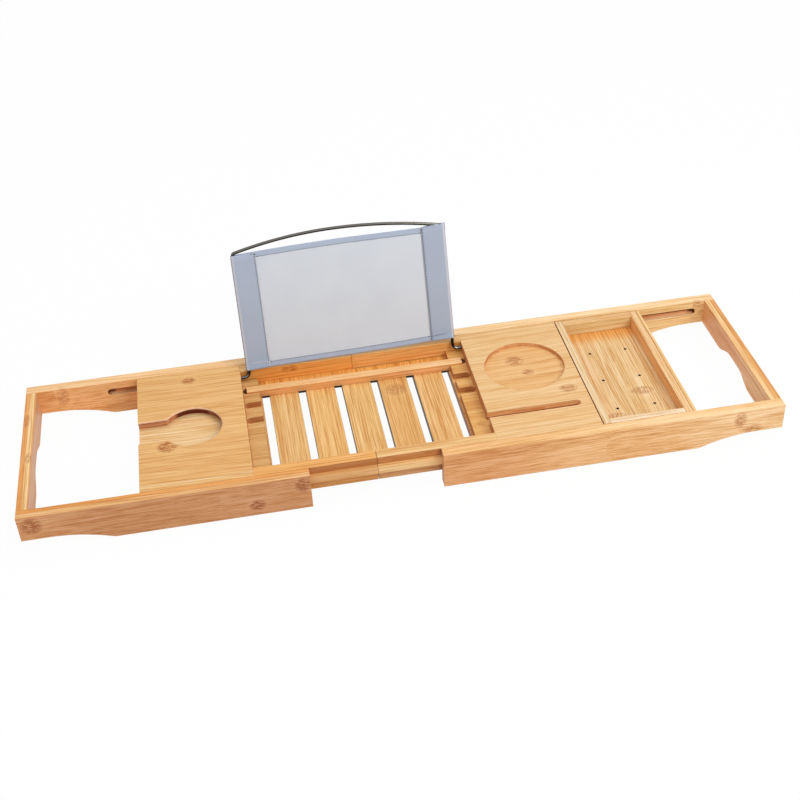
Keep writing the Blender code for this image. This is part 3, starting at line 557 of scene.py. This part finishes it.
def dressWood():
    dowelFinish = bambooFinish("bambooPlain", bamboo["dowelTop"], bamboo["dowelFront"])
    for node, slot in slotOf.items():
        if slot == "dowel_wood":
            wear(node, dowelFinish)
    for node, look in wearers.items():
        wear(node, bambooFinish(node, **look))
    for i, tone in enumerate(slatLook["tones"]):
        knots = [slatLook["figure"]] if i == slatLook["figured"] else []
        finish = bambooFinish("slat" + str(i + 1), tone, slatLook["front"], slatLook["sides"], grain="y",
                              seed=slatLook["seed"] + i * slatLook["seedStep"],
                              contrast=slatLook["contrast"], knots=knots, depth=slatLook["depth"])
        wear("slat_" + str(i + 1), finish)


steelLook = {
    "colour": (0.20, 0.19, 0.17, 1),
    "under": (0.02, 0.018, 0.016, 1),
    "roughness": 0.24,
    "lean": (0.85, 0.5),
    "turn": (0.7, 1.03),
}


def dressSteel():
    # Dark nickel wire with a painted reflection: pale where it faces up and to the front, and painted near-black
    # shade below
    material, surface, steel = newFinish("wireSteel")
    facing = steel.node("TexCoord", None, None, out=1).axes()
    upward, forward = steelLook["lean"]
    lit = (facing[2] * upward - facing[1] * forward).between(*steelLook["turn"])
    link(material, lit.blend(steelLook["under"], steelLook["colour"]), "Base Color")
    surface.inputs["Metallic"].default_value = 1
    surface.inputs["Roughness"].default_value = steelLook["roughness"]
    for node, slot in slotOf.items():
        if slot in ("wire_steel", "pin_steel"):
            wear(node, material)


dressWood()
dressSteel()
print("wood and steel finished")


# The stand's cloth, in the stand's own plane: x from the middle, r from the hinge and y out of the plane.
# One sheet whose sides are folded round the legs to the front and sewn down on it. The edges and the rows
# of tacks are points x, r in millimetres.
clothLook = {
    "lean": 18.5,
    "leg": 121.3 * mm,
    "sleeve": 2.65 * mm,
    "bandInner": 95.5 * mm,
    "hem": 6.3 * mm,
    "hemShare": 0.1,
    "thickness": 0.45 * mm,
    "foldGap": 0.55 * mm,
    "roundLegs": 16 * mm,
    "cutLong": 139 * mm,
    "rows": 40,
    "lapSteps": 6,
    "turnSteps": 10,
    "middleSteps": 26,
    "topEdge": ((-124.5, 144.6), (-95, 146.9), (-50, 148.6), (0, 149.7), (35, 149.7), (95, 149.5),
                (110, 151.2), (124.5, 151.9)),
    "bottomEdge": ((-124.5, 8.2), (-95, 9.0), (0, 10.4), (60, 11.5), (95, 12.8), (124.5, 13.8)),
    "archMiddle": 162 * mm,
    "archRadius": (500 * mm, 600 * mm),
    "wireRoom": 2.35 * mm,
    "wireReach": 2.6,
    "stitch": (36, 36, 62),
    "stitchLong": 1.5 * mm,
    "stitchPitch": 3.4 * mm,
    "stitchThick": 0.6 * mm,
    "stitchProud": 0.35 * mm,
    "stitchSides": 8,
    "stitchRings": 5,
    "stitchRoughness": 0.8,
    "seamInset": 1.6 * mm,
    "seamEnd": 1 * mm,
    "tack": (26, 26, 34),
    "tackRows": ((-96.3, 140.6, -96.3, 146.4), (-103.5, 144.2, -97, 144.6), (96.3, 143, 96.3, 149),
                 (96.8, 13.4, 96.8, 18.8), (108, 150.4, 113.5, 150.7), (115.5, 150.8, 120.8, 151)),
    "paleTack": (255, 246, 248),
    "paleRows": ((-96.3, 9.6, -96.3, 17.2), (-121, 16.6, -97, 16.4), (-96.0, 22, -96.0, 66)),
    "centre": (217, 224, 233),
    "band": (177, 188, 207),
    "bandSoft": 0.2 * mm,
    "hemTone": (181, 193, 214),
    "hemLine": (0.397, 0.402),
    # Painted highlight and shade tones for the sleeves and the folded band edges
    "paintedHighlight": (212, 213, 222),
    "ridge": ((120.6 * mm, 121.4 * mm), (123.0 * mm, 123.5 * mm)),
    "lapLine": ((95.0 * mm, 95.5 * mm), (96.1 * mm, 96.5 * mm)),
    "paintedEdgeShade": (150, 148, 165),
    "rim": (123.2 * mm, 123.8 * mm),
    "lineShare": 0.8,
    "lowReach": 0.25,
    "lowTint": (0.98, 1.03, 1.07, 1),
    "lowBandTint": (0.84, 0.94, 1.01, 1),
    "spotScale": 900,
    "spotShare": 0.10,
    "patchScale": 28,
    "patchShare": 0.22,
    "patchRelief": 4,
    "mottling": ((0.0, (0.75, 0.77, 0.82)), (1.0, (1.25, 1.23, 1.18))),
    "weaveScale": 2500,
    "reliefStrength": 0.15,
    "reliefHeight": 0.3 * mm,
    "roughness": 0.85,
    "shine": 0.2,
}
hinge = Vector(next(j for j in frame["joints"] if j["name"] == "stand_hinge")["pos_m"])


def standPoint(x, y, r):
    lean = math.radians(clothLook["lean"])
    back = y * math.cos(lean) + r * math.sin(lean)
    return hinge + Vector((x, back, r * math.cos(lean) - y * math.sin(lean)))


def follow(edge, x):
    # The height of a sloping edge at x, from its few points
    for (x0, r0), (x1, r1) in zip(edge, edge[1:]):
        if x <= x1 * mm:
            break
    share = min(1, max(0, (x / mm - x0) / (x1 - x0)))
    return (r0 + (r1 - r0) * share) * mm


def wireBulge(x, r):
    # How far a layer stands off the plane where the arch of the wire lies between the layers
    radius = clothLook["archRadius"][0 if x < 0 else 1]
    far = abs(math.hypot(x, r - clothLook["archMiddle"] + radius) - radius)
    reach = clothLook["wireRoom"] * clothLook["wireReach"]
    return clothLook["wireRoom"] * max(0, 1 - (far / reach) ** 2)


def clothProfile():
    # From the left band's free edge, out to the leg, round it and back, across, and the same on the right
    leg = clothLook["leg"]
    inner = clothLook["bandInner"]
    sleeve = clothLook["sleeve"]
    lapSteps = clothLook["lapSteps"]
    turnSteps = clothLook["turnSteps"]
    middleSteps = clothLook["middleSteps"]
    lap = [(inner + (leg - inner) * i / lapSteps, 1 - i / lapSteps) for i in range(lapSteps + 1)]
    front = [(x, -clothLook["foldGap"] * flat - sleeve * (1 - flat)) for x, flat in lap]
    angles = [math.pi * i / turnSteps for i in range(1, turnSteps)]
    turned = [(leg + sleeve * math.sin(a), -sleeve * math.cos(a)) for a in angles]
    back = [(x, sleeve * (1 - flat)) for x, flat in reversed(lap)]
    right = front + turned + back
    left = [(-x, y) for x, y in right]
    middle = [(-inner + 2 * inner * i / middleSteps, 0) for i in range(1, middleSteps)]
    return left + middle + right[::-1]


def clothObject(name, mesh, material):
    bmesh.ops.recalc_face_normals(mesh, faces=mesh.faces)
    data = bpy.data.meshes.new(name)
    mesh.to_mesh(data)
    mesh.free()
    data.materials.append(material)
    for face in data.polygons:
        face.use_smooth = True
    piece = bpy.data.objects.new(name, data)
    bpy.context.scene.collection.objects.link(piece)
    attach(piece, "stand")
    return piece


def sewCloth(material):
    profile = clothProfile()
    hem = clothLook["hem"]
    hemShare = clothLook["hemShare"]
    sheet = bmesh.new()
    bmesh.ops.create_grid(sheet, x_segments=len(profile) - 1, y_segments=clothLook["rows"], size=0.5)
    rise = sheet.loops.layers.uv.new("rise")
    shares = {corner: (corner.co.x + 0.5, corner.co.y + 0.5) for corner in sheet.verts}
    for face in sheet.faces:
        for loop in face.loops:
            loop[rise].uv = shares[loop.vert]
    for corner, (across, up) in shares.items():
        x, y = profile[round(across * (len(profile) - 1))]
        low = follow(clothLook["bottomEdge"], x)
        high = follow(clothLook["topEdge"], x)
        if up <= hemShare:
            r = low + hem * up / hemShare
        elif up >= 1 - hemShare:
            r = high - hem * (1 - up) / hemShare
        else:
            r = low + hem + (high - low - 2 * hem) * (up - hemShare) / (1 - 2 * hemShare)
        if abs(x) > clothLook["bandInner"] and y:
            y = math.copysign(max(abs(y), wireBulge(x, r)), y)
        corner.co = standPoint(x, y, r)
    sheet.normal_update()
    piece = clothObject("stand_cloth", sheet, material)
    wall = piece.modifiers.new("thickness", "SOLIDIFY")
    wall.thickness = clothLook["thickness"]
    wall.offset = 0
    return piece


def stitchLine(sheet, start, end, y):
    # A row of stitches between two places in the stand's plane
    start, end = Vector(start), Vector(end)
    count = max(1, int((end - start).length / clothLook["stitchPitch"]))
    turn = math.atan2(end.y - start.y, end.x - start.x)
    lean = Matrix.Rotation(-math.radians(clothLook["lean"]), 4, "X")
    thick = clothLook["stitchThick"]
    size = Matrix.Diagonal((clothLook["stitchLong"] / 2, thick, thick, 1))
    for i in range(count):
        x, r = start.lerp(end, (i + 0.5) / count)
        lie = Matrix.Translation(standPoint(x, y, r)) @ lean @ Matrix.Rotation(-turn, 4, "Y")
        bmesh.ops.create_uvsphere(sheet, u_segments=clothLook["stitchSides"],
                                  v_segments=clothLook["stitchRings"], radius=1, matrix=lie @ size)


def sewStitches(material):
    thread = bmesh.new()
    inner = clothLook["bandInner"]
    hem = clothLook["hem"]
    top = clothLook["topEdge"]
    bottom = clothLook["bottomEdge"]
    onPanel = -clothLook["thickness"] / 2
    onBand = -clothLook["foldGap"] - clothLook["stitchProud"]
    for edge, step in ((top, -hem), (bottom, hem)):
        places = [-inner] + [x * mm for x, r in edge if abs(x * mm) < inner] + [inner]
        for x0, x1 in zip(places, places[1:]):
            stitchLine(thread, (x0, follow(edge, x0) + step), (x1, follow(edge, x1) + step), onPanel)
    seam = inner + clothLook["seamInset"]
    end = clothLook["seamEnd"]
    for x, start in ((-seam, hem), (seam, end)):
        stitchLine(thread, (x, follow(bottom, x) + start), (x, follow(top, x) - end), onBand)
    # The right band's hem. The left one's pale row is among the tacks
    outer = clothLook["leg"] - end
    halfWay = (clothLook["sleeve"] - clothLook["foldGap"]) / 2
    stitchLine(thread, (seam, follow(bottom, seam) + hem), (outer, follow(bottom, outer) + hem),
               onBand - halfWay)
    return clothObject("stand_cloth_stitches", thread, material)


def sewTacks(name, rows, material):
    # Short rows of stitches that lie on the slanting front of the bands
    thread = bmesh.new()
    slant = (clothLook["sleeve"] - clothLook["foldGap"]) / (clothLook["leg"] - clothLook["bandInner"])
    for x0, r0, x1, r1 in rows:
        out = max(0, abs(x0 + x1) / 2 * mm - clothLook["bandInner"])
        onBand = -clothLook["foldGap"] - clothLook["stitchProud"] - slant * out
        stitchLine(thread, (x0 * mm, r0 * mm), (x1 * mm, r1 * mm), onBand)
    return clothObject(name, thread, material)


def clothFinish():
    material, surface, cloth = newFinish("standCloth")
    place = cloth.node("TexCoord", None, None, out=3)
    rise = cloth.node("TexCoord", None, None, out=2).axes()[1]
    across = (place.axes()[0] - hinge.x).absolute()
    inner = clothLook["bandInner"]
    band = across.between(inner - clothLook["bandSoft"], inner + clothLook["bandSoft"])
    tone = band.blend(colour(clothLook["centre"]), colour(clothLook["band"]))
    tone = (rise - 0.5).absolute().between(*clothLook["hemLine"]).blend(tone, colour(clothLook["hemTone"]))
    # Painted highlight on the ridge of each sleeve and on the folded edge of each band, painted shade on the
    # sleeve's outer rim
    rim = across.between(*clothLook["rim"])
    ridge, lapLine = (across.between(*clothLook[line][0]) * (1 - across.between(*clothLook[line][1]))
                      for line in ("ridge", "lapLine"))
    for mask, edge in ((ridge, "paintedHighlight"), (rim, "paintedEdgeShade"), (lapLine, "paintedHighlight")):
        tone = (mask * clothLook["lineShare"]).blend(tone, colour(clothLook[edge]))
    # Painted cool tint towards the hinge, the bands more so, against the warm light bounced up from the wood
    low = 1 - rise.between(0.0, clothLook["lowReach"])
    tone = low.blend(tone, band.blend(tone.tint(clothLook["lowTint"]), tone.tint(clothLook["lowBandTint"])))
    # Mottled patches paint the light and shade of soft wrinkles, which the bump also raises, over fine spots of
    # tone
    spots = cloth.noise(place, clothLook["spotScale"], rough=0.7)
    patches = cloth.noise(place, clothLook["patchScale"])
    grey = (patches - 0.5) * clothLook["patchShare"] + (spots - 0.5) * clothLook["spotShare"] + 0.5
    mottling = cloth.node("ValToRGB", {"stops": clothLook["mottling"]}, {"Fac": grey})
    link(material, tone.tint(mottling), "Base Color")
    surface.inputs["Roughness"].default_value = clothLook["roughness"]
    surface.inputs["Specular IOR Level"].default_value = clothLook["shine"]
    weave = cloth.noise(place, clothLook["weaveScale"], detail=1.0)
    bump = cloth.node("Bump", None, {"Strength": clothLook["reliefStrength"],
                                     "Distance": clothLook["reliefHeight"],
                                     "Height": weave + patches * clothLook["patchRelief"]})
    link(material, bump, "Normal")
    return material


def threadFinish(name, tone):
    material, surface = newFinish(name)[:2]
    surface.inputs["Base Color"].default_value = colour(tone)
    surface.inputs["Roughness"].default_value = clothLook["stitchRoughness"]
    return material


cloth = clothFinish()
sheetPiece = sewCloth(cloth)
stitches = sewStitches(threadFinish("thread", clothLook["stitch"]))
tacks = sewTacks("stand_cloth_tacks", clothLook["tackRows"], threadFinish("tackThread", clothLook["tack"]))
paleTacks = sewTacks("stand_cloth_pale_tacks", clothLook["paleRows"],
                     threadFinish("paleThread", clothLook["paleTack"]))
for node in ("stand_cloth_panel", "stand_left_band", "stand_right_band"):
    wear(node, cloth)
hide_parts("stand_cloth_panel", "stand_left_band", "stand_right_band")
print("cloth sewn")
